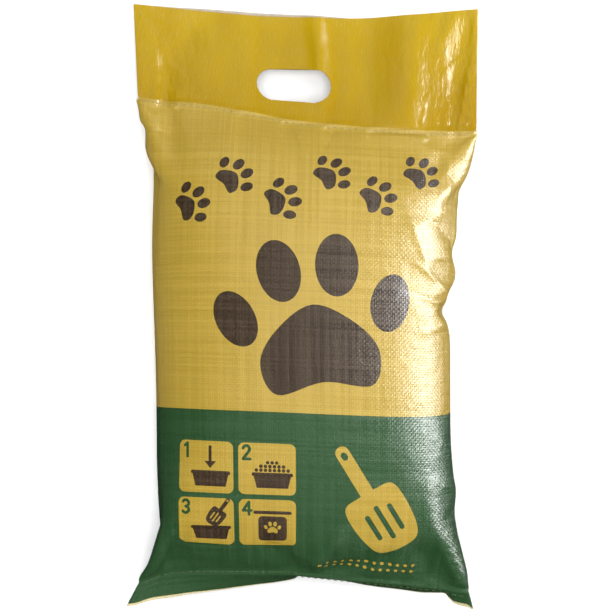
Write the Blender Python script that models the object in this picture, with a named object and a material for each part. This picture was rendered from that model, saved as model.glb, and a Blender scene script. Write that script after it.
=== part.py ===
"""Filled woven-plastic litter sack with a film carry header, lying on its back.

Metres, +Z up. The bag's printed front faces +Z and its mouth and header point along +Y. The
origin is under the middle of the bounding box, on the surface that the bag lies on.

The sack is a lay-flat tube of woven cloth. It is packed with loose granules, stitched shut across
its bottom, and stitched at its mouth to a header of plain film with a hand slot. The cloth and its
contents can't come apart without opening it, so they are one solid.
"""

import math

import bmesh
import bpy
import numpy as np

# Driving dimensions of the whole bag
LENGTH = 0.607  # hem corners to header corners
FLAT_WIDTH = 0.350  # lay-flat width of the cloth tube and of the film tube
THICKNESS = 0.113  # where the filled sack is thickest

# The filled body
BODY_WIDTH = 0.297  # the fill rounds the tube out and so draws its sides in
SEAM_HEIGHT = 0.039  # level of both stitched ends and of the side folds
CROWN_REACH = 0.150  # distance from a stitched end over which the front swells to full thickness
CROWN_POWER = 2.2
HEEL_REACH = 0.045  # distance over which the back comes down from a stitched end to the surface
HEEL_POWER = 1.4
BASE_DEPTH = 0.003  # how far the back's round shape is pressed flat by the surface
BASE_SQUARENESS = 4.0  # superellipse power of the back
HEM_FLARE = 0.028  # the sides draw in over this distance above the bottom stitching
MOUTH_FLARE = 0.040  # and over this distance below the mouth, after a wide stretch
MOUTH_FLARE_POWER = 1.5

# The bottom hem: the strip of cloth below the bottom stitching
HEM_DEPTH = 0.027
HEM_THICKNESS = 0.0014
SEAM_WIDTH = 0.330  # across the bottom stitching, narrower than the flat cloth
SEAM_BOW = 0.010  # the stitching's ends lie this much nearer the corners than its middle
HEM_TURN = math.radians(72)  # the middle of the hem turns down by this, and its corners lie flat
HEM_CURL = 0.006  # cloth length over which it turns
HEM_EDGE_POWER = 8  # superellipse power of the hem's section
SEAM_BOW_POWER = 6
END_SQUARENESS = 4  # added to the front's superellipse power at both stitched ends

# The mouth and the film header
HEADER_SHOWN = 0.113  # film above the middle of the mouth, up to the corners' level
MOUTH_SLANT = 0.035  # the mouth's line falls this much from the left side to the right
LIP_THICKNESS = 0.0030
FILM_WALL = 0.0004
FILM_GAP = 0.0006  # between the two walls of the film tube
TONGUE = 0.025  # film inside the sack's mouth
TONGUE_INSET = 0.007  # the tongue is narrower than the sack by this at each side
CLEARANCE = 0.0003
TOP_DIP = 0.016  # lowest point of the film's top edge, below its corners
TOP_DIP_X = 0.043
TOP_DIP_POWER = 1.5
DROOP_MIDDLE = 0.034  # the header sags towards the surface by this at its top edge
DROOP_SIDES = 0.022
DROOP_POWER = 1.4
FILM_EDGE_POWER = 12  # superellipse power of the film's section
SIDE_CROWDING = 0.35  # how far the film's columns crowd towards its sides
DRAW_IN_START = 0.004  # the film draws in from just above the mouth's edge
DRAW_IN = 0.008  # and over this distance
FILM_ROWS = [-0.012, -0.002, 0.010, 0.024, 0.040, 0.056, 0.072, 0.088]  # distances beyond the mouth's edge
BEYOND_TOP = 1.0  # a row at this distance lies on the top edge

# The hand slot, a pill through both film walls
SLOT_LENGTH = 0.075
SLOT_WIDTH = 0.033
SLOT_TILT = math.radians(-3)
SLOT_X = -0.009
SLOT_ABOVE_MOUTH = 0.033

# Stitching
THREAD_RADIUS = 0.0006
STITCH_INSET = 0.007  # mouth stitching below the mouth's edge
STITCH_MARGIN = 0.012  # the thread stops this far from each side

COLUMNS = 24  # facets across the sack's front, and as many across its back
BODY_ROWS = 34
HEM_ROWS = 5
FILM_COLUMNS = 36
THREAD_POINTS = 60
SLOT_END_FACETS = 14

HEM_CORNER_Y = -LENGTH / 2
HEADER_CORNER_Y = LENGTH / 2
SEAM_MIDDLE_Y = HEM_CORNER_Y + HEM_DEPTH + SEAM_BOW
MOUTH_MIDDLE_Y = HEADER_CORNER_Y - HEADER_SHOWN
BODY_SPAN = MOUTH_MIDDLE_Y - SEAM_MIDDLE_Y


def clear_scene():
    for obj in list(bpy.data.objects):
        bpy.data.objects.remove(obj, do_unlink=True)


def material(name, colour, roughness, metallic=0.0):
    made = bpy.data.materials.new(name)
    made.use_nodes = True
    shader = made.node_tree.nodes["Principled BSDF"]
    shader.inputs["Base Color"].default_value = (*colour, 1.0)
    shader.inputs["Roughness"].default_value = roughness
    shader.inputs["Metallic"].default_value = metallic
    return made


def smooth_step(t):
    t = np.clip(t, 0.0, 1.0)
    return t * t * (3 - 2 * t)


def mouth_y(across):
    """Y of the mouth's edge, a gentle S from the left side (across -1) to the right (1)."""
    return MOUTH_MIDDLE_Y - MOUTH_SLANT * (smooth_step((across + 1) / 2) - 0.5)


def seam_y(across):
    """Y of the bottom stitching, whose ends bow towards the corners."""
    return SEAM_MIDDLE_Y - SEAM_BOW * np.abs(across) ** SEAM_BOW_POWER


def superellipse(across, power):
    """Height of a unit superellipse over across in [-1, 1]."""
    return np.maximum(0.0, 1 - np.abs(across) ** power) ** (1 / power)


def sack_half_width(from_bottom, from_mouth):
    """Half the sack's width, which is least along the filled body."""
    at_seam = (SEAM_WIDTH - BODY_WIDTH) / 2 * np.exp(-from_bottom / HEM_FLARE)
    at_mouth = (FLAT_WIDTH - BODY_WIDTH) / 2 * np.exp(-((from_mouth / MOUTH_FLARE) ** MOUTH_FLARE_POWER))
    return BODY_WIDTH / 2 + at_seam + at_mouth


def body_section(share, across):
    """Points of the sack's front and back at one row, from the bottom (share 0) to the mouth (1)."""
    from_bottom = share * BODY_SPAN
    from_mouth = (1 - share) * BODY_SPAN
    near = min(from_bottom, from_mouth)
    half_width = sack_half_width(from_bottom, from_mouth)
    half_lip = (HEM_THICKNESS if from_bottom < from_mouth else LIP_THICKNESS) / 2
    crown = (THICKNESS - SEAM_HEIGHT) * (1 - max(0.0, 1 - near / CROWN_REACH) ** CROWN_POWER)
    heel = SEAM_HEIGHT * max(0.0, 1 - near / HEEL_REACH) ** HEEL_POWER - BASE_DEPTH
    x = half_width * across
    y = seam_y(across) + share * (mouth_y(across) - seam_y(across))
    front_power = 2 + END_SQUARENESS * math.exp(-near / HEM_FLARE)
    front = SEAM_HEIGHT + max(half_lip, crown) * superellipse(across, front_power)
    belly = max(half_lip, SEAM_HEIGHT - heel)
    back = SEAM_HEIGHT - belly * superellipse(across, BASE_SQUARENESS)
    return np.stack([x, y, front], 1), np.stack([x, y, np.maximum(back, 0.0)], 1)


def hem_sections(across):
    """The hem's rows, from its cut edge up to just below the stitching."""
    widening = (FLAT_WIDTH - SEAM_WIDTH) / 2 / HEM_DEPTH
    step = HEM_DEPTH / HEM_ROWS
    y = seam_y(across)
    z = np.full_like(across, SEAM_HEIGHT)
    rows = []
    for row in range(1, HEM_ROWS + 1):
        along = row * step
        turn = HEM_TURN * (1 - across**2) * (1 - math.exp(-(along - step / 2) / HEM_CURL))
        y = y - step * np.cos(turn)
        z = z - step * np.sin(turn)
        x = (SEAM_WIDTH / 2 + widening * along) * across
        offset = HEM_THICKNESS / 2 * superellipse(across, HEM_EDGE_POWER)
        front = np.stack([x, y - offset * np.sin(turn), z + offset * np.cos(turn)], 1)
        back = np.stack([x, y + offset * np.sin(turn), z - offset * np.cos(turn)], 1)
        rows.append((front, back))
    return rows[::-1]


def tube_object(name, rows, surface):
    """A closed mesh object from rows of (front, back) points that share their first and last points."""
    mesh = bmesh.new()
    rings = []
    for front, back in rows:
        front_verts = [mesh.verts.new(p) for p in front]
        back_verts = [front_verts[0], *(mesh.verts.new(p) for p in back[1:-1]), front_verts[-1]]
        rings.append((front_verts, back_verts))
    last = len(rings[0][0]) - 1
    for (front_low, back_low), (front_high, back_high) in zip(rings, rings[1:]):
        for i in range(last):
            mesh.faces.new((front_low[i], front_low[i + 1], front_high[i + 1], front_high[i]))
            mesh.faces.new((back_low[i], back_high[i], back_high[i + 1], back_low[i + 1]))
    for front_verts, back_verts in (rings[0], rings[-1]):
        for i in range(last):
            corners = (front_verts[i], front_verts[i + 1], back_verts[i + 1], back_verts[i])
            mesh.faces.new(list(dict.fromkeys(corners)))
    bmesh.ops.recalc_face_normals(mesh, faces=mesh.faces)
    data = bpy.data.meshes.new(name)
    mesh.to_mesh(data)
    mesh.free()
    data.shade_smooth()
    data.set_sharp_from_angle(angle=math.radians(50))
    made = bpy.data.objects.new(name, data)
    bpy.context.scene.collection.objects.link(made)
    if surface is None:
        made.hide_render = True
        made.display_type = "WIRE"
    else:
        data.materials.append(surface)
    return made


def cut(target, cutter, name):
    modifier = target.modifiers.new(name, "BOOLEAN")
    modifier.operation = "DIFFERENCE"
    modifier.solver = "EXACT"
    modifier.object = cutter


def header_top_y(across):
    """Y of the film's top edge, which dips to one low point."""
    x = across * FLAT_WIDTH / 2
    to_corner = np.where(x < TOP_DIP_X, TOP_DIP_X + FLAT_WIDTH / 2, FLAT_WIDTH / 2 - TOP_DIP_X)
    return HEADER_CORNER_Y - TOP_DIP * (1 - (np.abs(x - TOP_DIP_X) / to_corner) ** TOP_DIP_POWER)


def header_level(across, beyond):
    """Height of the film's middle surface, a distance beyond the mouth's edge."""
    sag = DROOP_SIDES + (DROOP_MIDDLE - DROOP_SIDES) * (1 - across**2)
    return SEAM_HEIGHT - sag * (np.maximum(beyond, 0.0) / HEADER_SHOWN) ** DROOP_POWER


def film_slab(name, thickness, below_mouth, above_top, side_inset, surface):
    """A slab on the film's middle surface, from below the mouth's edge to above the top edge."""
    angle = np.linspace(0.0, math.pi, FILM_COLUMNS + 1)
    across = -np.cos(angle) * SIDE_CROWDING + np.linspace(-1, 1, FILM_COLUMNS + 1) * (1 - SIDE_CROWDING)
    rows = []
    for beyond in [-below_mouth, *FILM_ROWS, BEYOND_TOP]:
        top = header_top_y(across) + above_top
        y = np.where(beyond < BEYOND_TOP, mouth_y(across) + beyond, top)
        y = np.minimum(y, top)
        level = header_level(across, y - mouth_y(across))
        # Inside the mouth the film draws in with the sack, clear of the cloth's side folds.
        depth = np.maximum(mouth_y(across) - y, 0.0)
        inset = TONGUE_INSET * smooth_step((mouth_y(across) + DRAW_IN_START - y) / DRAW_IN)
        x = across * (sack_half_width(BODY_SPAN, depth) - side_inset - inset)
        offset = thickness / 2 * superellipse(across, FILM_EDGE_POWER)
        rows.append((np.stack([x, y, level + offset], 1), np.stack([x, y, level - offset], 1)))
    return tube_object(name, rows, surface)


def hand_slot_cutter():
    """A pill-shaped prism that goes through both walls of the film."""
    straight = (SLOT_LENGTH - SLOT_WIDTH) / 2
    radius = SLOT_WIDTH / 2
    outline = []
    for side in (1, -1):
        for step in range(SLOT_END_FACETS + 1):
            angle = math.pi * step / SLOT_END_FACETS - math.pi / 2
            outline.append((side * (straight + radius * math.cos(angle)), side * radius * math.sin(angle)))
    mesh = bmesh.new()
    face = mesh.faces.new([mesh.verts.new((x, y, 0.0)) for x, y in outline])
    raised = bmesh.ops.extrude_face_region(mesh, geom=[face])
    lifted = [item for item in raised["geom"] if isinstance(item, bmesh.types.BMVert)]
    bmesh.ops.translate(mesh, verts=lifted, vec=(0.0, 0.0, 2 * SEAM_HEIGHT))
    bmesh.ops.recalc_face_normals(mesh, faces=mesh.faces)
    data = bpy.data.meshes.new("hand_slot_cutter")
    mesh.to_mesh(data)
    mesh.free()
    made = bpy.data.objects.new("hand_slot_cutter", data)
    made.location = (SLOT_X, MOUTH_MIDDLE_Y + SLOT_ABOVE_MOUTH, 0.0)
    made.rotation_euler = (0.0, 0.0, SLOT_TILT)
    made.hide_render = True
    made.display_type = "WIRE"
    bpy.context.scene.collection.objects.link(made)
    return made


def thread(name, points, surface):
    """A thread as a tube through the given points."""
    curve = bpy.data.curves.new(name, "CURVE")
    curve.dimensions = "3D"
    curve.bevel_depth = THREAD_RADIUS
    curve.bevel_resolution = 2
    curve.use_fill_caps = True
    spline = curve.splines.new("POLY")
    spline.points.add(len(points) - 1)
    for target, point in zip(spline.points, points):
        target.co = (*point, 1.0)
    curve.materials.append(surface)
    made = bpy.data.objects.new(name, curve)
    bpy.context.scene.collection.objects.link(made)
    return made


def filled_sack(cloth):
    across = -np.cos(np.linspace(0.0, math.pi, COLUMNS + 1))
    # Rows crowd towards both ends, where the shape turns fastest.
    shares = 0.5 - 0.5 * np.cos(np.linspace(0.0, math.pi, BODY_ROWS + 1))
    rows = hem_sections(across) + [body_section(share, across) for share in shares]
    sack = tube_object("filled_sack", rows, cloth)
    pocket = film_slab(
        "mouth_pocket",
        2 * FILM_WALL + FILM_GAP + 2 * CLEARANCE,
        TONGUE + CLEARANCE,
        0.0,
        -CLEARANCE,
        None,
    )
    cut(sack, pocket, "mouth_pocket")
    return sack


def header_film(film):
    header = film_slab("header_film", 2 * FILM_WALL + FILM_GAP, TONGUE, 0.0, 0.0, film)
    inside = film_slab(
        "header_inside",
        FILM_GAP,
        TONGUE - FILM_WALL,
        0.004,
        FILM_WALL,
        None,
    )
    cut(header, inside, "two_walls")
    cut(header, hand_slot_cutter(), "hand_slot")
    return header


def front_point(across, share):
    """The point of the sack's front at a position across and a share of the way to the mouth."""
    front, _ = body_section(share, np.array([across]))
    return front[0]


def stitching(name, share, surface):
    """One thread across the front of the sack, resting on the cloth."""
    reach = 1 - 2 * STITCH_MARGIN / FLAT_WIDTH
    lift = THREAD_RADIUS + CLEARANCE
    points = []
    for across in np.linspace(-reach, reach, THREAD_POINTS):
        x, y, z = front_point(across, share)
        _, ahead_y, ahead_z = front_point(across, share + 0.002)
        slope = math.atan2(ahead_z - z, ahead_y - y)
        points.append((x, y - lift * math.sin(slope), z + lift * math.cos(slope)))
    return thread(name, points, surface)


def build():
    clear_scene()
    cloth = material("woven_sack", (0.52, 0.36, 0.06), 0.62)
    film = material("header_film", (0.68, 0.45, 0.02), 0.28)
    sewing = material("thread", (0.72, 0.62, 0.38), 0.8)
    bag = bpy.data.objects.new("litter_sack", None)
    bpy.context.scene.collection.objects.link(bag)
    pieces = [
        filled_sack(cloth),
        header_film(film),
        stitching("mouth_stitching", 1 - STITCH_INSET / BODY_SPAN, sewing),
        stitching("bottom_stitching", 0.0, sewing),
    ]
    for piece in pieces:
        piece.parent = bag


build()
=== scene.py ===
"""A filled cat litter bag that lies on its back: a printed woven sack with a film carry header.

The sack and its header are one flat tube. A simulation fills the tube, sews it at both ends and lays it
on the floor. Every piece is then cut in the flat and placed through that drape, so that weave, print and
stitches lie in the cloth. Lengths are in metres, in the row frame.
"""

import math

import bpy
import numpy as np
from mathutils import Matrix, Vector
from mathutils.geometry import delaunay_2d_cdt


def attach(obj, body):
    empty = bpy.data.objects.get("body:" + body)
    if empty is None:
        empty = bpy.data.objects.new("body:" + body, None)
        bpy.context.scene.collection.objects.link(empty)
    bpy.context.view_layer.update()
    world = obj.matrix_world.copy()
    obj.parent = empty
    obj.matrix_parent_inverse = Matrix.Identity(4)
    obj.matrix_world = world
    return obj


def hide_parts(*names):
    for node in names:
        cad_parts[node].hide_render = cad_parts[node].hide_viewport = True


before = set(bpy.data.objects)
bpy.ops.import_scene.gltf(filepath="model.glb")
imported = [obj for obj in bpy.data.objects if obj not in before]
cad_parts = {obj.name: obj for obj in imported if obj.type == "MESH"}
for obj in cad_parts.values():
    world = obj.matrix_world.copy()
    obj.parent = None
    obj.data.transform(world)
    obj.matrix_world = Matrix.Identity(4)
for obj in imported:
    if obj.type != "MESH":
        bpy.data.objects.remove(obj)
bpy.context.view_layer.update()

# The flat tube. u runs across it from its middle, and v runs up from the bottom stitching.
FLAT_WIDTH = 0.350
HALF_FLAT = FLAT_WIDTH / 2
HEM_DEPTH = 0.027
SACK_LENGTH = 0.480
MOUTH_SLANT = 0.022
FILM_TOP = 0.590
FILM_TOP_RISE = 0.006
FILM_DIP = 0.007
FILM_DIP_AT = 0.043
FILM_DIP_WIDTH = 0.075
LIP = 0.0035
CLOTH = 0.0003
FILM = 0.00015
FILM_DEPTH = 0.00045

# How the filled tube lies, in points that a smooth curve joins.
# Left and right outline: (height in the cloth, distance from the middle).
LEFT_SIDE = [
    (0.0, 0.1668), (0.010, 0.1615), (0.020, 0.1530), (0.035, 0.1455), (0.052, 0.1418), (0.090, 0.1430),
    (0.120, 0.1435), (0.200, 0.145), (0.350, 0.1505),
    (0.419, 0.149), (0.436, 0.156), (0.445, 0.158), (0.461, 0.1568), (0.471, 0.1633),
    (0.491, 0.1650), (0.590, 0.1712),
]
RIGHT_SIDE = [
    (0.0, 0.169), (0.020, 0.166), (0.042, 0.1605), (0.062, 0.156), (0.082, 0.1535),
    (0.102, 0.155), (0.122, 0.151), (0.160, 0.1475), (0.262, 0.148), (0.282, 0.135),
    (0.325, 0.155), (0.345, 0.1500), (0.364, 0.1555),
    (0.400, 0.156), (0.432, 0.168), (0.455, 0.1735), (0.475, 0.1755), (0.500, 0.1762),
    (0.596, 0.1790),
]
# Bottom seam, mouth seam and the film's top edge: (place across the cloth, y).
SEAM_LINE = [
    (-0.175, -0.281), (-0.150, -0.2705), (-0.110, -0.267), (-0.020, -0.267),
    (0.010, -0.270), (0.150, -0.2835), (0.175, -0.287),
]
MOUTH_LINE = [
    (-0.175, 0.2052), (-0.095, 0.1972), (-0.055, 0.1902), (-0.012, 0.1810),
    (0.018, 0.1777), (0.060, 0.1745), (0.105, 0.1712), (0.175, 0.170),
]
TOP_LINE = [
    (-0.175, 0.3055), (-0.080, 0.2965), (-0.045, 0.2938), (0.0, 0.2926),
    (0.043, 0.2915), (0.110, 0.295), (0.175, 0.3005),
]
# The hem below the bottom seam: (place across the cloth, degrees it turns down) and (place, sideways flare).
HEM_TURN = [
    (-0.175, 3), (-0.134, 20), (-0.113, 33), (-0.092, 43), (-0.070, 53), (-0.050, 61),
    (-0.028, 68), (-0.010, 78), (0.0, 94), (0.030, 88),
    (0.080, 77), (0.120, 75), (0.148, 82), (0.157, 50), (0.175, 42),
]
HEM_FLARE = [(-0.175, -0.54), (-0.130, -0.20), (-0.060, 0.0), (0.100, 0.0), (0.175, 0.30)]
HEM_FOLD = 0.005
HEM_PARTS = 16
HEM_OPENS = [(-0.175, 0.001), (0.100, 0.001), (0.150, 0.003), (0.175, 0.004)]

# The film above the mouth seam: how high its top edge rests, how it sweeps down and how far its walls part.
FILM_REST = [(-0.175, 0.012), (-0.110, 0.005), (0.0, 0.003), (0.110, 0.004), (0.175, 0.010)]
FILM_SWEEP = 1.6
FILM_OPENS = 0.0022
FILM_BLEND = 0.006
FILM_CLEAR = 0.0012
SEWN_BLEND = 0.002
FILM_GAP_POWER = 0.25
LOWEST_WALL = 0.0002
LOWEST_FILM = 0.0004

# Relief, in millimetres: where each line starts and ends in the flat cloth (u, v, u, v), its width and its
# height. A ridge is round and soft, and a crease has a sharp line.
RIDGES = [
    (4, 10, 38, 62, 10, 6.2), (38, 62, 62, 115, 18, 1.8),
    (-6, 4, -34, 45, 11, -4.4), (24, 6, 90, 36, 12, -4.8),
    (70, 6, 78, 50, 10, 1.8), (168, 6, 128, 70, 9, 5.6),
    (128, 70, 126, 120, 12, 1.8), (142, 4, 112, 50, 10, -4.8),
    (-160, 10, -130, 60, 10, 1.6), (-145, 8, -112, 60, 12, -2),
    (16, 500, 10, 590, 9, 5.6), (-60, 495, -62, 590, 16, 1.4),
    (62, 485, 66, 590, 15, -2), (96, 478, 112, 590, 28, 10),
    (150, 500, 166, 590, 11, -3), (136, 545, 150, 590, 8, 2),
    (-150, 510, -110, 580, 14, -2.4), (-110, 500, -80, 590, 14, 1.6),
]
CREASES = [
    (1, 4, 6, 22, 3, -4), (-12, 478, -2, 440, 2.4, 1.4),
    (-6, 474, 4, 450, 2, 1.2), (-30, 478, -20, 456, 2, 0.8),
    (30, 476, 20, 448, 2.2, -0.8), (156, 474, 170, 545, 2.2, 1.6),
    (146, 474, 158, 520, 2.2, -1), (163, 474, 171, 505, 1.8, 1),
    (168, 560, 140, 530, 3, 1), (116, 472, 126, 515, 2.2, 0.6),
    (52, 476, 60, 515, 3, 0.5), (-168, 584, -140, 556, 2.6, 1),
    (-166, 560, -134, 526, 2.6, 1.1), (-150, 548, -140, 508, 2.4, -0.9),
    (-165, 535, -134, 500, 2.8, 1), (-120, 588, -106, 560, 2.6, 0.8),
    (172, 285, 108, 302, 6, -2.6), (172, 294, 112, 330, 5.5, 2.6),
    (170, 276, 120, 262, 6, 2), (172, 352, 112, 384, 6, -2.2),
    (172, 343, 116, 334, 5.5, 2), (168, 395, 108, 366, 5.5, 1.9),
    (170, 405, 130, 438, 5.5, -2.3), (172, 440, 122, 454, 5.5, 2),
    (150, 395, 142, 446, 5, 1.6), (128, 318, 104, 376, 5.5, 1.6),
    (172, 105, 140, 112, 3.5, 1.6), (172, 85, 146, 78, 3.5, -1.8),
    (170, 140, 138, 160, 4, 1.2), (172, 190, 140, 176, 4, -1),
    (-174, 462, -140, 455, 3, -2), (-174, 440, -145, 425, 3.5, 1.4),
]
# The share of a line's length over which it dies out at each end, and how blunt a crease's edge is.
RELIEF_FADE = 0.5
CREASE_BLUNTNESS = 0.15
# How far from the side folds, the bottom seam and the mouth seam the relief is whole.
RELIEF_AT_FOLD = 0.010
RELIEF_AT_SEAM = 0.008
RELIEF_AT_MOUTH = 0.006

# The simulation.
LITTER_VOLUME = 0.0108
LITTER_DENSITY = 920
CLOTH_WEIGHT = 10.0
GRAVITY = 9.81
CLOTH_GRAVITY_SHARE = 0.35
FILM_GRAVITY_SHARE = 0.06
DAMPING = 0.98
SEAM_GATHER = 0.05
GATHER_WIDTH = 0.020
SHEAR_SHARE = 0.01
SEAM_GAP = 0.0008
PLY_GAP = 0.0016
SIDE_PULL = 0.15
SEAM_PULL = 0.10
FILM_PULL = 0.05
START_HEIGHT = 0.03
ROUNDS = 2
FLOOR_GRIP = 0.5
# The litter's level: where it starts, how fast it rises to fill the sack, and its limits.
START_HEAD = 0.12
FILL_RATE = 0.05
FILL_AREA = 0.09
HEAD_LIMITS = (0.01, 0.6)
# Where the sack stays empty: each corner's width, height and blend, and below the mouth seam.
FOOT_CORNER = (0.075, 0.085, 0.6)
MOUTH_CORNER = (0.090, 0.100, 0.7)
MOUTH_EMPTY = 0.004
MOUTH_LOOSE = 0.045
# Each level's cell size, steps, time step, starting roughness and bending stiffness.
LEVELS = [
    (0.0125, 1500, 1e-3, 2e-4, 0.1),
    (0.0065, 1000, 5e-4, 1e-4, 0.2),
    (0.0040, 500, 4e-4, 5e-5, 0.3),
]


def smooth(t):
    t = np.clip(t, 0, 1)
    return t * t * (3 - 2 * t)


def curve(points, at):
    """A smooth curve through points that never overshoots them, read at the places at."""
    x, y = np.array(points, float).T
    h = np.diff(x)
    d = np.diff(y) / h
    m = np.zeros_like(y)
    m[0] = d[0]
    m[-1] = d[-1]
    same = d[1:] * d[:-1] > 0
    before = np.where(same, d[:-1], 1.0)
    after = np.where(same, d[1:], 1.0)
    wide = 2 * h[1:] + h[:-1]
    narrow = h[1:] + 2 * h[:-1]
    m[1:-1] = np.where(same, 3 * (h[1:] + h[:-1]) / (wide / before + narrow / after), 0.0)
    at = np.clip(at, x[0], x[-1])
    k = np.clip(np.searchsorted(x, at) - 1, 0, len(h) - 1)
    t = (at - x[k]) / h[k]
    value = y[k] * (1 + 2 * t) * (1 - t) ** 2 + y[k + 1] * t * t * (3 - 2 * t)
    return value + h[k] * (m[k] * t * (1 - t) ** 2 + m[k + 1] * t * t * (t - 1))


def mouth_v(u):
    """Height of the mouth seam, which is sewn at a slant."""
    return SACK_LENGTH + MOUTH_SLANT * (0.5 - smooth(u / FLAT_WIDTH + 0.5))


def film_top_v(u):
    """Height of the film's top edge, which dips in the middle."""
    dip = FILM_DIP * np.exp(-(((u - FILM_DIP_AT) / FILM_DIP_WIDTH) ** 2))
    return FILM_TOP + FILM_TOP_RISE * (u / FLAT_WIDTH + 0.5) - dip


class Tube:
    """The flat tube as a grid. Rows go up it, and ring places run along its front and back along its back."""

    def __init__(self, cell):
        self.across = int(round(FLAT_WIDTH / cell))
        self.ring = 2 * self.across
        self.du = FLAT_WIDTH / self.across
        length = HEM_DEPTH + FILM_TOP + FILM_TOP_RISE
        self.rows = int(round(length / cell))
        self.dv = length / self.rows
        self.v = np.arange(self.rows + 1) * self.dv - HEM_DEPTH
        self.u, self.front = self.flat(np.arange(self.ring))

    def flat(self, i):
        """(u, whether it is on the front) of ring place i."""
        front = i <= self.across
        return np.where(front, i * self.du - HALF_FLAT, HALF_FLAT - (i - self.across) * self.du), front

    def laid_flat(self):
        seam = curve(SEAM_LINE, self.u)
        mouth = curve(MOUTH_LINE, self.u)
        v = self.v[:, None]
        level = mouth_v(self.u)
        grid = np.zeros((self.rows + 1, self.ring, 3))
        grid[..., 0] = self.u
        between = seam + np.clip(v / level, 0, 1) * (mouth - seam)
        grid[..., 1] = between + np.minimum(v, 0) + np.maximum(v - level, 0)
        side = np.where(self.front, 1e-3, -1e-3)
        side[0] = 0
        side[self.across] = 0
        grid[..., 2] = START_HEIGHT + side
        return grid


def cubic(p0, p1, p2, p3, f):
    return p1 + 0.5 * f * (p2 - p0 + f * (2 * p0 - 5 * p1 + 4 * p2 - p3 + f * (3 * (p1 - p2) + p3 - p0)))


def sample(grid, i, j):
    """The grid at ring place i and row place j, by cubic interpolation."""
    rows, ring = grid.shape[:2]
    a = np.floor(i).astype(int)
    fi = (i - a)[..., None]
    b = np.clip(np.floor(j).astype(int), 0, rows - 2)
    fj = (j - b)[..., None]

    def row(k):
        r = np.clip(b + k, 0, rows - 1)
        return cubic(*(grid[r, (a + q) % ring] for q in (-1, 0, 1, 2)), fi)

    return cubic(row(-1), row(0), row(1), row(2), fj)


def finer(grid, old, new):
    i, j = np.meshgrid(
        np.arange(new.ring) / new.ring * old.ring, np.arange(new.rows + 1) / new.rows * old.rows
    )
    return sample(grid, i, j)


def litter_share(tube):
    """How far the granules reach into each cell: not into the corners or the mouth's last centimetres."""
    v = (tube.v[:-1] + tube.dv / 2)[:, None]
    u = 0.5 * (tube.u + np.roll(tube.u, -1))[None, :]
    edge = HALF_FLAT - np.abs(u)
    below = mouth_v(u) - v
    share = 1.0
    for (wide, high, blend), height in ((FOOT_CORNER, v), (MOUTH_CORNER, below)):
        share = share * np.clip((edge / wide + height / high - 1) / blend, 0, 1)
    return share * smooth((below - MOUTH_EMPTY) / MOUTH_LOOSE)


def cloth_links(tube, bend):
    """Every pair of grid points that the cloth holds apart, in batches that share no point."""
    rows, ring, du, dv = tube.rows, tube.ring, tube.du, tube.dv
    ids = np.arange((rows + 1) * ring).reshape(rows + 1, ring)
    gather = 1 - SEAM_GATHER * np.exp(-((tube.v / GATHER_WIDTH) ** 2))
    width = np.repeat((du * gather)[:, None], ring, axis=1)
    next_one = np.roll(ids, -1, axis=1)
    next_two = np.roll(ids, -2, axis=1)
    links = []
    for c in (0, 1):
        links.append((ids[:, c::2], next_one[:, c::2], width[:, c::2].ravel(), 0.5))
    for c in (0, 1):
        links.append((ids[c:rows:2], ids[c + 1 : rows + 1 : 2], dv, 0.5))
    for side in (1, -1):
        for c in (0, 1):
            slanted = np.roll(ids, -side, axis=1)[c + 1 : rows + 1 : 2]
            links.append((ids[c:rows:2], slanted, math.hypot(du, dv), SHEAR_SHARE))
    for pair in ((0, 1), (2, 3)):
        across = np.array([k for k in range(ring) if k % 4 in pair])
        links.append((ids[:, across], next_two[:, across], 2 * width[:, across].ravel(), 0.5 * bend))
        along = np.array([k for k in range(rows - 1) if k % 4 in pair])
        links.append((ids[along], ids[along + 2], 2 * dv, 0.5 * bend))
    return [(a.ravel(), b.ravel(), rest, share) for a, b, rest, share in links]


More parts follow.
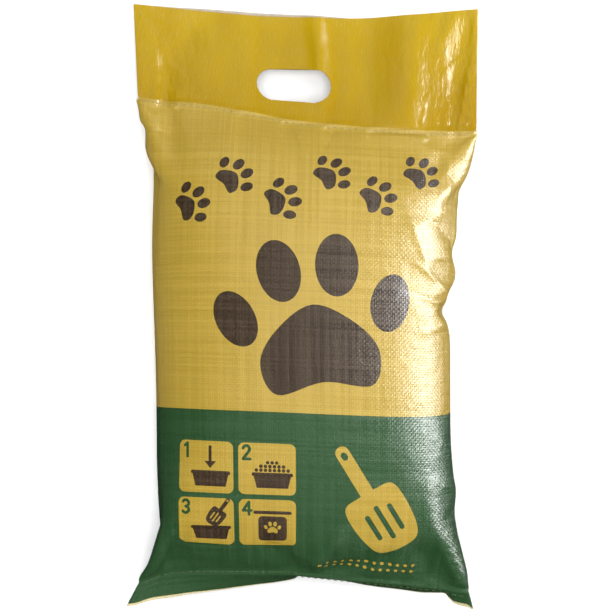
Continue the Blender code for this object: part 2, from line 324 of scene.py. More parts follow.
def settle(tube, grid, steps, dt, kick, bend):
    """Fills the tube with litter and lets it lie down, by position-based dynamics."""
    rows, ring, across = tube.rows, tube.ring, tube.across
    links = cloth_links(tube, bend)
    front = np.arange(1, across)
    back = ring - front
    mouth_row = np.clip(np.round((mouth_v(tube.u) + HEM_DEPTH) / tube.dv).astype(int), 0, rows)
    seam_row = int(round(HEM_DEPTH / tube.dv))
    cell_row = np.arange(rows)[:, None]
    top_row = np.minimum(mouth_row, np.roll(mouth_row, -1))[None, :]
    inside = (cell_row >= seam_row) & (cell_row < top_row)
    litter = litter_share(tube) * inside
    sewn_row = np.concatenate([mouth_row[1:across], np.full(across - 1, seam_row)])
    sewn_front = np.concatenate([front, front])
    sewn_back = ring - sewn_front
    left = -curve(LEFT_SIDE, tube.v)
    right = curve(RIGHT_SIDE, tube.v)
    seam_y = curve(SEAM_LINE, tube.u)
    mouth_y = curve(MOUTH_LINE, tube.u)
    side_pull = np.where(tube.v > -0.001, SIDE_PULL, 0.0)
    up_film = (tube.v[:, None] - mouth_v(tube.u)) / (film_top_v(tube.u) - mouth_v(tube.u))
    film = up_film > 0
    film_y = mouth_y + up_film * (curve(TOP_LINE, tube.u) - mouth_y)
    film_pull = np.where(film, FILM_PULL, 0.0)
    gravity = GRAVITY * np.where(film, FILM_GRAVITY_SHARE, CLOTH_GRAVITY_SHARE)
    columns = np.arange(ring)
    mass = CLOTH_WEIGHT * tube.du * tube.dv
    head = START_HEAD
    grid = grid.copy()
    speed = np.zeros_like(grid)
    grid[..., 2] += kick * np.random.default_rng(1).standard_normal((rows + 1, ring))
    for _ in range(steps):
        a = grid[:-1]
        b = np.roll(grid, -1, axis=1)[:-1]
        c = np.roll(grid, -1, axis=1)[1:]
        d = grid[1:]
        area = 0.5 * np.cross(c - a, d - b)
        centre = (a + b + c + d) / 4
        volume = (centre * area).sum(-1)[inside].sum() / 3
        head = float(np.clip(head + FILL_RATE * (LITTER_VOLUME - volume) / FILL_AREA, *HEAD_LIMITS))
        pressure = LITTER_DENSITY * GRAVITY * np.clip(head - centre[..., 2], 0, None)
        push = (pressure * litter / 4)[..., None] * area
        force = np.zeros_like(grid)
        force[:-1] += push + np.roll(push, 1, axis=1)
        force[1:] += push + np.roll(push, 1, axis=1)
        change = force / mass
        change[..., 2] -= gravity
        speed = (speed + change * dt) * DAMPING
        old = grid.copy()
        grid = grid + speed * dt
        flat = grid.reshape(-1, 3)
        for _ in range(ROUNDS):
            for one, other, rest, share in links:
                gap = flat[other] - flat[one]
                length = np.sqrt((gap * gap).sum(1)) + 1e-12
                fix = gap * (share * (length - rest) / length)[:, None]
                flat[one] += fix
                flat[other] -= fix
            middle = 0.5 * (grid[sewn_row, sewn_front] + grid[sewn_row, sewn_back])
            grid[sewn_row, sewn_front] = middle + [0, 0, SEAM_GAP]
            grid[sewn_row, sewn_back] = middle - [0, 0, SEAM_GAP]
            apart = np.clip(PLY_GAP - (grid[:, front, 2] - grid[:, back, 2]), 0, None) / 2
            grid[:, front, 2] += apart
            grid[:, back, 2] -= apart
            under = grid[..., 2] < 0
            grid[..., 2][under] = 0
            grid[..., :2] -= np.where(under[..., None], FLOOR_GRIP * (grid[..., :2] - old[..., :2]), 0)
        grid[:, 0, 0] += side_pull * (left - grid[:, 0, 0])
        grid[:, across, 0] += side_pull * (right - grid[:, across, 0])
        grid[seam_row, columns, 1] += SEAM_PULL * (seam_y - grid[seam_row, columns, 1])
        grid[mouth_row, columns, 1] += SEAM_PULL * (mouth_y - grid[mouth_row, columns, 1])
        grid[..., 1] += film_pull * (film_y - grid[..., 1])
        speed = (grid - old) / dt
    return grid


def laid_tube():
    """The tube, filled and at rest on the floor. Each level starts from the coarser one before it."""
    tube = Tube(LEVELS[0][0])
    grid = tube.laid_flat()
    for cell, *how in LEVELS:
        new = Tube(cell)
        grid = settle(new, finer(grid, tube, new), *how)
        tube = new
    return tube, grid


def smoothed_film(tube, grid):
    """The same tube with its film let down in one even sweep from the mouth seam to the floor."""
    u = tube.u
    v = tube.v[:, None]
    level = mouth_v(u)
    i = np.arange(tube.ring, dtype=float)
    j = (level + HEM_DEPTH) / tube.dv
    seam = 0.5 * (sample(grid, i, j) + sample(grid, tube.ring - i, j))
    share = (v - level) / (film_top_v(u) - level)
    left = -curve(LEFT_SIDE, tube.v)[:, None]
    right = curve(RIGHT_SIDE, tube.v)[:, None]
    x = left + (u / FLAT_WIDTH + 0.5) * (right - left)
    y = seam[:, 1] + share * (curve(TOP_LINE, u) - seam[:, 1])
    rest = curve(FILM_REST, u)
    z = rest + (seam[:, 2] - rest) * np.clip(1 - share, 0, 1) ** FILM_SWEEP
    edge = np.clip(1 - (u / HALF_FLAT) ** 2, 0, 1) ** FILM_GAP_POWER
    gap = edge * (SEAM_GAP + FILM_OPENS * smooth(share))
    z = np.maximum(z + np.where(tube.front, gap, -gap), LOWEST_WALL)
    film = np.stack([x, y, z], -1)
    share_of_film = smooth((v - level) / FILM_BLEND)[..., None]
    return grid + share_of_film * (film - grid)


# How far apart two points are that show which way a surface faces, without and with its relief.
RELIEF_STEP = 0.003
NORMAL_STEP = 0.0008


class Drape:
    """Where each point of the flat tube lies, and which way it faces."""

    def __init__(self, tube, grid):
        self.tube = tube
        self.grid = grid

    def ring(self, u, front):
        """Ring place of the point u across, on the front or on the back."""
        i = (u + HALF_FLAT) / self.tube.du
        return np.where(front, i, self.tube.ring - i)

    def flat(self, i):
        """(u, whether it is on the front) of ring place i."""
        return self.tube.flat(np.mod(i, self.tube.ring))

    def body(self, i, v):
        return sample(self.grid, i, (v + HEM_DEPTH) / self.tube.dv)

    def hem(self, i, v):
        """The double cloth below the bottom seam, folded down by an angle that changes along the seam."""
        u, front = self.flat(i)
        base = np.zeros_like(u)
        over = self.body(self.ring(u, True), base)
        under = self.body(self.ring(u, False), base)
        seam = 0.5 * (over + under)
        half = 0.5 * np.linalg.norm(over - under, axis=-1)
        depth = np.clip(-v, 0, None)
        droop = np.radians(curve(HEM_TURN, u))
        forward = np.zeros_like(u)
        down = np.zeros_like(u)
        for k in range(HEM_PARTS):
            turn = droop * smooth(depth * (k + 0.5) / HEM_PARTS / HEM_FOLD)
            forward += np.cos(turn) * depth / HEM_PARTS
            down += np.sin(turn) * depth / HEM_PARTS
        turn = droop * smooth(depth / HEM_FOLD)
        flare = curve(HEM_FLARE, u)
        length = np.hypot(flare, 1)
        outward = np.stack([flare / length, -1 / length, np.zeros_like(u)], -1)
        up = np.array([0.0, 0.0, 1.0])
        middle = seam + forward[..., None] * outward - down[..., None] * up
        normal = np.sin(turn)[..., None] * outward + np.cos(turn)[..., None] * up
        apart = half + curve(HEM_OPENS, u) * (depth / HEM_DEPTH) ** 2 * np.clip(half / SEAM_GAP, 0, 1)
        return middle + (np.where(front, 1, -1) * apart)[..., None] * normal

    def base(self, i, v):
        return np.where((v >= 0)[..., None], self.body(i, np.maximum(v, 0)), self.hem(i, v))

    def facing(self, points_at, i, v, step):
        """Outward normals of the surface points_at, from points a step away on each side."""
        across = points_at(i + step / self.tube.du, v) - points_at(i - step / self.tube.du, v)
        along = points_at(i, v + step) - points_at(i, v - step)
        normal = np.cross(across, along)
        return normal / (np.linalg.norm(normal, axis=-1, keepdims=True) + 1e-15)

    def spot(self, i, v):
        """The surface with its relief, and with the film kept clear of the floor."""
        i, v = np.broadcast_arrays(np.asarray(i, float), np.asarray(v, float))
        u, front = self.flat(i)
        lift = relief(u, v)
        in_film = smooth((v - mouth_v(u)) / FILM_BLEND)
        lift = np.where(front, lift, -in_film * lift)
        points = self.base(i, v) + lift[..., None] * self.facing(self.base, i, v, RELIEF_STEP)
        lowest = LOWEST_FILM + in_film * np.where(front, FILM_CLEAR, 0.0)
        points[..., 2] = np.where(v > mouth_v(u), np.maximum(points[..., 2], lowest), points[..., 2])
        return points

    def place(self, i, v, depth=0.0):
        """(points, outward normals) of the places (i, v), depth below the cloth's outer face."""
        normal = self.facing(self.spot, i, v, NORMAL_STEP)
        return self.spot(i, v) - np.asarray(depth)[..., None] * normal, normal


def relief(u, v):
    """How far ridges and creases lift the front of the cloth. It dies out at the seams and the side folds."""
    lift = np.zeros_like(u)
    for sharp, lines in ((False, RIDGES), (True, CREASES)):
        for u0, v0, u1, v1, width, height in np.array(lines) / 1000:
            long = math.hypot(u1 - u0, v1 - v0)
            du = (u1 - u0) / long
            dv = (v1 - v0) / long
            along = ((u - u0) * du + (v - v0) * dv) / long
            aside = (u - u0) * dv - (v - v0) * du
            fade = smooth(0.5 + along / RELIEF_FADE) * smooth(0.5 + (1 - along) / RELIEF_FADE)
            if sharp:
                profile = np.exp(-np.sqrt(aside**2 + (CREASE_BLUNTNESS * width) ** 2) / width)
            else:
                profile = np.exp(-((aside / width) ** 2))
            lift += height * fade * profile
    edge = smooth((HALF_FLAT - np.abs(u)) / RELIEF_AT_FOLD)
    bottom = smooth(np.abs(v) / RELIEF_AT_SEAM) * (v > 0)
    return lift * edge * bottom * smooth(np.abs(v - mouth_v(u)) / RELIEF_AT_MOUTH)


TUBE, GRID = laid_tube()
DRAPE = Drape(TUBE, smoothed_film(TUBE, GRID))

# Mesh pitch, and the print's places in the flat cloth.
PITCH = 0.003
FOLD_COLUMNS = [0.0, 0.0007, 0.0016, 0.0029, 0.0048, 0.0072]
GREEN_TOP = 0.181
PRINT_BOTTOM = 0.012
PRINT_TOP = 0.444
HEM_ROWS = 14
HEM_CROWDING = 1.4
SLANTED_ROWS = 16
SLIT_ROWS = 11
TONGUE = 0.018
CLEAR_OF_OUTLINE = 0.0009
MERGE = 1e-7
CUT_EDGE = 0.0016
LIP_EDGE = 0.0005
YELLOW, GREEN, BROWN, SHADED_INSIDE, CUT = range(5)
EAR_TRIM = 0.0045
EAR_TRIM_FROM = 0.142
EAR_BLEND = 0.010
EAR_FOLD = 0.006
EAR_CUT = 0.0030
CORNER_FROM = 0.095
CORNER_BLEND = 0.05
CORNER_CUT = 0.0012


def levels(low, high, pitch):
    """Evenly spaced heights from low to high, without high."""
    count = max(1, int(round((high - low) / pitch)))
    return list(low + (high - low) * np.arange(count) / count)


def column_places():
    """Places across the flat width, closer together at the side folds."""
    edge = HALF_FLAT - np.array(FOLD_COLUMNS)
    count = int(round(2 * edge[-1] / PITCH))
    middle = np.linspace(-edge[-1], edge[-1], count + 1)[1:-1]
    return np.concatenate([-edge, middle, edge[::-1]])


def turned(points, turn, x=0.0, y=0.0):
    """Points turned by some degrees and then moved by x, y."""
    a = math.radians(turn)
    px, py = np.asarray(points, float).T
    return np.stack([x + px * math.cos(a) - py * math.sin(a), y + px * math.sin(a) + py * math.cos(a)], -1)


def ellipse(x, y, rx, ry, turn=0.0, points=36):
    """Outline of an ellipse turned by some degrees. The print's lengths are in millimetres."""
    t = np.arange(points) * 2 * math.pi / points
    return turned(np.stack([rx * np.cos(t), ry * np.sin(t)], -1), turn, x, y)


def rounded_box(x, y, w, h, r, turn=0.0):
    """Outline of a rectangle w by h with corners of radius r."""
    outline = []
    for quarter, (sx, sy) in enumerate([(1, 1), (-1, 1), (-1, -1), (1, -1)]):
        for k in range(6):
            t = math.pi / 2 * (quarter + k / 5)
            outline.append((sx * (w / 2 - r) + r * math.cos(t), sy * (h / 2 - r) + r * math.sin(t)))
    return turned(outline, turn, x, y)


def blob(points, parts=7):
    """A smooth closed outline through points."""
    p = np.array(points, float)
    n = len(p)
    outline = []
    for k in range(n):
        for f in np.arange(parts) / parts:
            outline.append(cubic(p[k - 1], p[k], p[(k + 1) % n], p[(k + 2) % n], f))
    return np.array(outline)


def stroke(points, width):
    """Outlines of a line of even width with round ends and joints."""
    outlines = []
    for (x0, y0), (x1, y1) in zip(points[:-1], points[1:]):
        heading = math.atan2(y1 - y0, x1 - x0)
        ends = []
        for (x, y), start in (((x1, y1), -math.pi / 2), ((x0, y0), math.pi / 2)):
            for k in range(9):
                t = heading + start + math.pi * k / 8
                ends.append((x + width / 2 * math.cos(t), y + width / 2 * math.sin(t)))
        outlines.append(np.array(ends))
    return outlines


def arc(x, y, r, start, end, parts=8):
    """Points along part of a circle, from start to end degrees."""
    t = np.radians(np.linspace(start, end, parts + 1))
    return [(x + r * math.cos(k), y + r * math.sin(k)) for k in t]


def paw(x, y, size, turn):
    """A paw print: one pad and four toes. size is its width in millimetres."""
    pad = blob([(-0.20, -0.02), (-0.30, -0.17), (-0.24, -0.33), (0.0, -0.29), (0.24, -0.33),
                (0.30, -0.17), (0.20, -0.02), (0.0, 0.09)])
    toes = [(-0.39, 0.06, 0.10, 0.145, 22), (-0.145, 0.27, 0.108, 0.155, 7),
            (0.145, 0.27, 0.108, 0.155, -7), (0.39, 0.06, 0.10, 0.145, -22)]
    shapes = [pad] + [ellipse(*toe) for toe in toes]
    return [turned(shape, turn) * size + (x, y) for shape in shapes]


def digit(number, x, y, h):
    """Strokes of the number 1, 2, 3 or 4, h high, with its middle at x, y."""
    r = 0.25 * h
    lines = {
        1: [[(-0.6 * r, 1.3 * r), (0.3 * r, 2 * r), (0.3 * r, -2 * r)]],
        2: [arc(0, r, r, 165, -40) + [(-1.0 * r, -2 * r), (1.1 * r, -2 * r)]],
        3: [arc(0, r, r, 150, -90), arc(0, -r, r, 90, -150)],
        4: [[(0.6 * r, -2 * r), (0.6 * r, 2 * r), (-1.2 * r, -0.7 * r), (1.3 * r, -0.7 * r)]],
    }[number]
    outlines = []
    for line in lines:
        outlines += stroke([(x + px, y + py) for px, py in line], 0.22 * h)
    return outlines


def tray(x, y, w):
    """A litter tray seen from the front: a rim and a tapered body."""
    body = [(x - 0.46 * w, y + 0.10 * w), (x + 0.46 * w, y + 0.10 * w),
            (x + 0.38 * w, y - 0.22 * w), (x - 0.38 * w, y - 0.22 * w)]
    return [np.array(body), rounded_box(x, y + 0.12 * w, w, 0.09 * w, 0.04 * w)]


def grains(x, y, rows, pitch, r):
    """A heap of round granules with rows[0] grains in its lowest row."""
    dots = []
    for k, count in enumerate(rows):
        for n in range(count):
            dots.append(ellipse(x + (n - (count - 1) / 2) * pitch, y + 0.86 * k * pitch, r, r, 0, 12))
    return dots


def scoop(x, y, size, turn):
    """A litter scoop: (its outline parts, the slots in its bowl)."""
    bowl = blob([(-0.30, 0.16), (-0.31, -0.22), (-0.22, -0.46), (0.0, -0.50), (0.22, -0.46),
                 (0.31, -0.22), (0.30, 0.16), (0.10, 0.22), (-0.10, 0.22)])
    handle = rounded_box(0, 0.46, 0.15, 0.62, 0.07)
    slots = [rounded_box(k * 0.135, -0.15, 0.055, 0.42 - 0.10 * abs(k), 0.026) for k in (-1, 0, 1)]
    slots.append(ellipse(0, 0.66, 0.035, 0.045, 0, 16))
    return [[turned(shape, turn) * size + (x, y) for shape in shapes] for shapes in ([bowl, handle], slots)]


def panels():
    """Four numbered panels with little pictures of a tray, granules and a scoop."""
    art = []
    for number, (x, y) in enumerate([(-97, 125), (-36, 125), (-97, 69), (-36, 69)], start=1):
        art.append((YELLOW, [rounded_box(x, y, 56, 51, 6)]))
        art.append((GREEN, digit(number, x - 20, y + 16, 13)))
        if number < 4:
            art.append((BROWN, tray(x + 5, y - 10, 40)))
        if number == 1:
            art.append((BROWN, stroke([(x + 5, y + 20), (x + 5, y + 4)], 3)))
            art.append((BROWN, [np.array([(x - 1, y + 6), (x + 11, y + 6), (x + 5, y - 1)])]))
        if number == 2:
            art.append((BROWN, grains(x + 5, y - 1, [8, 6, 3], 4.4, 1.8)))
        if number == 3:
            parts, slots = scoop(x + 12, y + 9, 26, -35)
            art.append((BROWN, parts))
            art.append((YELLOW, slots))
        if number == 4:
            art.append((BROWN, [rounded_box(x + 5, y - 6, 28, 28, 4)]))
            art.append((BROWN, stroke([(x - 12, y + 12), (x + 22, y + 12)], 3.5)))
            art.append((YELLOW, paw(x + 5, y - 5, 17, 0)))
    return art


def artwork():
    """The printed shapes, in the order they are printed, as (ink, outlines in millimetres)."""
    art = []
    trail = [
        (-112, 381, -62), (-70, 409, -48), (-22, 387, -70), (26, 417, -50), (72, 394, -64), (116, 423, -44),
    ]
    for x, y, turn in trail:
        art.append((BROWN, paw(x, y, 44, turn)))
    art.append((BROWN, paw(12, 268, 196, 8)))
    art += panels()
    parts, slots = scoop(72, 88, 94, 32)
    art.append((YELLOW, parts))
    art.append((GREEN, slots))
    for row, count in enumerate((13, 12)):
        art.append((YELLOW, grains(64 + 3 * row, 24 - 8 * row, [count], 8, 1.9)))
    return art


def inside_outline(points, outline):
    """Which points lie in the outline, by counting crossings."""
    low = outline.min(0)
    high = outline.max(0)
    near = np.flatnonzero(((points >= low) & (points <= high)).all(1))
    found = np.zeros(len(points), bool)
    x, y = points[near].T
    hit = np.zeros(len(near), bool)
    for (x0, y0), (x1, y1) in zip(outline, np.roll(outline, -1, axis=0)):
        crosses = (y0 > y) != (y1 > y)
        rise = y1 - y0 if y1 != y0 else 1.0
        hit ^= crosses & (x < (x1 - x0) * (y - y0) / rise + x0)
    found[near] = hit
    return found


def far_from_outlines(points, outlines, clear):
    """Which points are at least clear away from every outline."""
    keep = np.ones(len(points), bool)
    for outline in outlines:
        low = outline.min(0) - clear
        high = outline.max(0) + clear
        near = np.flatnonzero(((points >= low) & (points <= high)).all(1) & keep)
        if not len(near):
            continue
        start = outline[None, :, :]
        side = (np.roll(outline, -1, axis=0) - outline)[None, :, :]
        rel = points[near][:, None, :] - start
        t = np.clip((rel * side).sum(-1) / ((side * side).sum(-1) + 1e-18), 0, 1)
        gap = np.linalg.norm(rel - t[..., None] * side, axis=-1).min(1)
        keep[near] = gap >= clear
    return keep


def grid_points(across, heights):
    return np.stack([np.broadcast_to(across, heights.shape).ravel(), heights.ravel()], -1)


def cut_grid(points, shape, keep, cut_rows, loops):
    """Triangles over the kept points of a flat grid, cut along its sides, some rows and closed outlines.
    Returns (flat points, the kept point that each one is or -1, triangles, all counter-clockwise)."""
    points = points[keep]
    place = np.full(keep.size, -1)
    place[keep] = np.arange(len(points))
    place = place.reshape(shape)
    coords = [Vector(p) for p in points]
    edges = []
    for chain in [place[row] for row in cut_rows] + [place[:, 0], place[:, -1]]:
        edges += [(int(a), int(b)) for a, b in zip(chain[:-1], chain[1:])]
    for loop in loops:
        start = len(coords)
        coords += [Vector(p) for p in loop]
        edges += [(start + k, start + (k + 1) % len(loop)) for k in range(len(loop))]
    found, _, faces, origin, _, _ = delaunay_2d_cdt(coords, edges, [], 0, MERGE, True)
    number = [next((k for k in sources if k < len(points)), -1) for sources in origin]
    flat = np.array([tuple(p) for p in found])
    triangles = np.array([tuple(face) for face in faces])
    a, b, c = (flat[triangles[:, k]] for k in range(3))
    clockwise = (b[:, 0] - a[:, 0]) * (c[:, 1] - a[:, 1]) < (b[:, 1] - a[:, 1]) * (c[:, 0] - a[:, 0])
    triangles[clockwise] = triangles[clockwise][:, ::-1]
    return flat, np.array(number), triangles


def mesh_object(name, points, faces, maps, materials):
    """A smooth object made of these points and faces, with the bake map's place of each face's corners."""
    mesh = bpy.data.meshes.new(name)
    mesh.from_pydata(points.tolist(), [], faces)
    for material in materials:
        mesh.materials.append(material)
    mesh.polygons.foreach_set("use_smooth", [True] * len(faces))
    layer = mesh.uv_layers.new(name="OFBake")
    layer.data.foreach_set("uv", np.concatenate([np.array(m, float).ravel() for m in maps]))
    made = bpy.data.objects.new(name, mesh)
    bpy.context.scene.collection.objects.link(made)
    return made


class Piece:
    """A mesh in the making: points on the drape, and faces with their materials and their map places."""

    def __init__(self):
        self.points = []
        self.normals = []
        self.faces = []
        self.materials = []
        self.maps = []
        self.sharp = []

    def add(self, i, v, depth):
        """Adds points at ring places i and heights v. Returns their numbers, in the same shape."""
        i, v = np.broadcast_arrays(np.asarray(i, float), np.asarray(v, float))
        points, normals = DRAPE.place(i, v, np.broadcast_to(depth, i.shape))
        first = sum(len(p) for p in self.points)
        self.points.append(points.reshape(-1, 3))
        self.normals.append(normals.reshape(-1, 3))
        return first + np.arange(i.size).reshape(i.shape)

    def face(self, corners, material, mapped, sharp=False):
        self.faces.append([int(c) for c in corners])
        self.materials.append(material)
        self.maps.append(mapped)
        self.sharp.append(sharp)

    def build(self, name, materials):
        """Makes the object. Unused points are dropped."""
        points = np.concatenate(self.points)
        normals = np.concatenate(self.normals)
        used = np.unique(np.concatenate([np.array(f) for f in self.faces]))
        renumber = np.full(len(points), -1)
        renumber[used] = np.arange(len(used))
        faces = [[int(renumber[c]) for c in face] for face in self.faces]
        made = mesh_object(name, points[used], faces, self.maps, materials)
        polygons = made.data.polygons
        polygons.foreach_set("material_index", self.materials)
        shading = normals[used][np.concatenate([np.array(f) for f in faces])]
        flat = np.zeros(len(faces) * 3, np.float32)
        polygons.foreach_get("normal", flat)
        sizes = [len(f) for f in faces]
        per_loop = np.repeat(flat.reshape(-1, 3), sizes, axis=0)
        inward = (shading * per_loop).sum(1) < 0
        shading = np.where(inward[:, None], -shading, shading)
        sharp = np.repeat(np.array(self.sharp), sizes)
        shading = np.where(sharp[:, None], per_loop, shading)
        made.data.normals_split_custom_set(shading.tolist())
        return made


# The bake map of a piece: its front wall in the left half, its back wall in the right half.
MAP_GUTTER = 0.012
MAP_WIDTH = 0.5 - 2 * MAP_GUTTER
# The sack's length in its map and the share it takes there, with thin bands above it for faces in the seams.
MAP_LENGTH = 0.560
MAP_LOW = 0.01
MAP_SHARE = 0.82
BANDS_LOW = 0.85
BAND_PITCH = 0.035
BAND_HEIGHT = 0.030
# The header's length in its map, and the share that each of its two faces takes.
FILM_MAP_LENGTH = 0.145
FILM_MAP_BOTTOM = 0.445
FILM_MAP_LOW = 0.02
FILM_MAP_SHARE = 0.45
FILM_MAP_PITCH = 0.49
RIM_MAP = 0.004


def map_across(share, on_front):
    x = MAP_GUTTER + share * MAP_WIDTH
    return x if on_front else 1 - x


def map_corner(u, v, on_front):
    """Map place of a flat point of the sack."""
    return map_across(u / FLAT_WIDTH + 0.5, on_front), MAP_LOW + MAP_SHARE * (v + HEM_DEPTH) / MAP_LENGTH


def film_corner(point, on_front, side):
    """Map place of a flat point of the header, on its outer (0) or inner (1) face."""
    up = (point[1] - FILM_MAP_BOTTOM) / FILM_MAP_LENGTH
    y = FILM_MAP_LOW + FILM_MAP_PITCH * side + FILM_MAP_SHARE * up
    return map_across(point[0] / FLAT_WIDTH + 0.5, on_front), y


def strip_corners(ends, heights, band, on_front):
    """Map places of a face in one of the thin bands."""
    (a, b), (low, high) = ends, heights
    bottom = BANDS_LOW + BAND_PITCH * band
    at = ((b, low), (a, low), (a, high), (b, high))
    return [(map_across(share, on_front), bottom + BAND_HEIGHT * up) for share, up in at]


def sack_rows(columns):
    """Heights of the sack's outer rows: one row of heights per row, and the numbers of its named rows."""
    shares = (np.arange(HEM_ROWS) / HEM_ROWS).tolist()
    hem = [-HEM_DEPTH] + [-(HEM_DEPTH - CUT_EDGE) * (1 - share) ** HEM_CROWDING for share in shares]
    lower = levels(0, PRINT_BOTTOM, PITCH)
    green = levels(PRINT_BOTTOM, GREEN_TOP, PITCH)
    upper = levels(GREEN_TOP, PRINT_TOP, PITCH)
    straight = np.array(hem + lower + green + upper)
    top = mouth_v(columns) + LIP
    slant = top - LIP_EDGE - PRINT_TOP
    slanted = [PRINT_TOP + slant * k / SLANTED_ROWS for k in range(SLANTED_ROWS + 1)] + [top]
    heights = np.concatenate([np.repeat(straight[:, None], len(columns), axis=1), np.array(slanted)])
    print_low = len(hem) + len(lower)
    green_row = print_low + len(green)
    return heights, print_low, green_row, len(straight)


def woven_sack(materials):
    """The sack with its litter sealed in: outer cloth, and a slit between the two plies at each end."""
    columns = column_places()
    count = len(columns) - 1
    ring_u = np.concatenate([columns, columns[-2:0:-1]])
    ring_front = np.arange(2 * count) <= count
    ring_i = DRAPE.ring(ring_u, ring_front)
    heights, print_low, green_row, print_top = sack_rows(columns)
    ring_v = np.concatenate([heights, heights[:, -2:0:-1]], axis=1)
    near_ear = smooth((ring_u - EAR_TRIM_FROM) / EAR_BLEND) * smooth((HALF_FLAT - ring_u) / EAR_FOLD)
    near_ear *= ring_front
    ring_v = np.where(ring_v < 0, ring_v * (1 - near_ear * EAR_TRIM / HEM_DEPTH), ring_v)
    near_corner = smooth((-CORNER_FROM - ring_u) / CORNER_BLEND) * ring_front
    ring_v[1] += near_ear * EAR_CUT + near_corner * CORNER_CUT
    piece = Piece()
    outer = piece.add(ring_i, ring_v, 0.0)

    def wall(first, last, ks, material):
        for r in range(first, last):
            for k in ks:
                m = (k + 1) % (2 * count)
                spots = [(r, k), (r, m), (r + 1, m), (r + 1, k)]
                mapped = [map_corner(ring_u[b], ring_v[a, b], k < count) for a, b in spots]
                piece.face([outer[spot] for spot in spots], material, mapped)

    front_ks = range(count)
    back_ks = range(count, 2 * count)
    last = len(heights) - 1
    wall(0, 1, range(2 * count), CUT)
    wall(last - 1, last, range(2 * count), YELLOW)
    wall(1, print_low, front_ks, GREEN)
    wall(print_top, last - 1, front_ks, YELLOW)
    wall(1, green_row, back_ks, GREEN)
    wall(green_row, last - 1, back_ks, YELLOW)
    printed_front(piece, outer, columns, heights, (print_low, green_row, print_top))
    slit(piece, outer[0], ring_i, ring_v[:SLIT_ROWS], 0, False)
    slit(piece, outer[-1], ring_i, ring_v[: -SLIT_ROWS - 1 : -1], 2, True)
    return piece.build("woven_sack", materials)


def printed_front(piece, outer, columns, heights, rows):
    """The front between the end rows, cut along the print's outlines so that each face takes one ink."""
    low, green_row, high = rows
    art = [(ink, [outline / 1000 for outline in outlines]) for ink, outlines in artwork()]
    loops = [outline for _, outlines in art for outline in outlines]
    printed = heights[low : high + 1]
    points = grid_points(columns, printed)
    cut_rows = [0, green_row - low, -1]
    fixed = np.zeros(printed.shape, bool)
    fixed[cut_rows, :] = True
    fixed[:, [0, -1]] = True
    keep = far_from_outlines(points, loops, CLEAR_OF_OUTLINE) | fixed.ravel()
    flat, number, triangles = cut_grid(points, printed.shape, keep, cut_rows, loops)
    old = outer[low : high + 1, : len(columns)].ravel()[keep]
    new = piece.add(DRAPE.ring(flat[:, 0], True), flat[:, 1], 0.0)
    ids = np.where(number >= 0, old[np.clip(number, 0, None)], new)
    centre = flat[triangles].mean(1)
    inks = np.where(centre[:, 1] < GREEN_TOP, GREEN, YELLOW)
    for colour, outlines in art:
        for outline in outlines:
            inks[inside_outline(centre, outline)] = colour
    for triangle, ink in zip(triangles, inks):
        piece.face(ids[triangle], int(ink), [map_corner(*flat[k], True) for k in triangle])


def slit(piece, edge, ring_i, heights, band, at_top):
    """Closes the cloth's end at edge: rim, inner faces of both plies, and the bottom of their slit."""
    ring = len(ring_i)
    count = ring // 2
    rows = [edge] + [piece.add(ring_i, v, CLOTH) for v in heights]
    order = -1 if at_top else 1

    def face(corners, material, mapped, sharp):
        piece.face(corners[::order], material, mapped[::order], sharp)

    # The inner faces and the slit's bottom take the dark inside colour, which is painted shade for the narrow
    # slit between the plies.
    for k in range(ring):
        m = (k + 1) % ring
        on_front = k < count
        ends = (k / count, (k + 1) / count) if on_front else ((ring - k) / count, (ring - k - 1) / count)
        for r in range(len(rows) - 1):
            corners = [rows[r][m], rows[r][k], rows[r + 1][k], rows[r + 1][m]]
            mapped = strip_corners(ends, (r / len(rows), (r + 1) / len(rows)), band, on_front)
            face(corners, CUT if r == 0 else SHADED_INSIDE, mapped, r == 0)
    end = rows[-1]
    for k in range(count):
        corners = [end[k + 1], end[k], end[(ring - k) % ring], end[ring - k - 1]]
        mapped = strip_corners((k / count, (k + 1) / count), (0, 1), band + 1, True)
        at_fold = {0: 2, count - 1: 3}.get(k)
        if at_fold is not None:
            corners.pop(at_fold)
            mapped.pop(at_fold)
        face(corners, SHADED_INSIDE, mapped, True)


# The hand slot, in the flat film.
SLOT_U = -0.0135
SLOT_V = 0.5187
SLOT_WIDTH = 0.0765
SLOT_HEIGHT = 0.032
SLOT_ROUNDNESS = 0.498
SLOT_TILT = -3
# How far the back wall's top edge stands above the front wall's: (place across the film, height).
BACK_SHOWS = [
    (-0.175, 0.0), (-0.140, 0.0012), (-0.100, 0.0030), (-0.050, 0.0034),
    (0.020, 0.0022), (0.060, 0.0), (0.175, 0.0),
]
FILM_ROWS = 46


def film_wall(on_front):
    """(flat points, triangles) of the header's front or back wall, which face outwards."""
    columns = column_places()
    bottom = mouth_v(columns) + LIP - TONGUE
    top = film_top_v(columns) + (0.0 if on_front else curve(BACK_SHOWS, columns))
    hole = rounded_box(SLOT_U, SLOT_V, SLOT_WIDTH, SLOT_HEIGHT, SLOT_ROUNDNESS * SLOT_HEIGHT, SLOT_TILT)
    heights = np.array([bottom + (top - bottom) * k / FILM_ROWS for k in range(FILM_ROWS + 1)])
    points = grid_points(columns, heights)
    keep = far_from_outlines(points, [hole], CLEAR_OF_OUTLINE) & ~inside_outline(points, hole)
    flat, _, triangles = cut_grid(points, heights.shape, keep, [0, -1], [hole])
    centre = flat[triangles].mean(1)
    above = centre[:, 1] > np.interp(centre[:, 0], columns, bottom)
    below = centre[:, 1] < np.interp(centre[:, 0], columns, top)
    triangles = triangles[above & below & ~inside_outline(centre, hole)]
    return flat, triangles if on_front else triangles[:, ::-1]


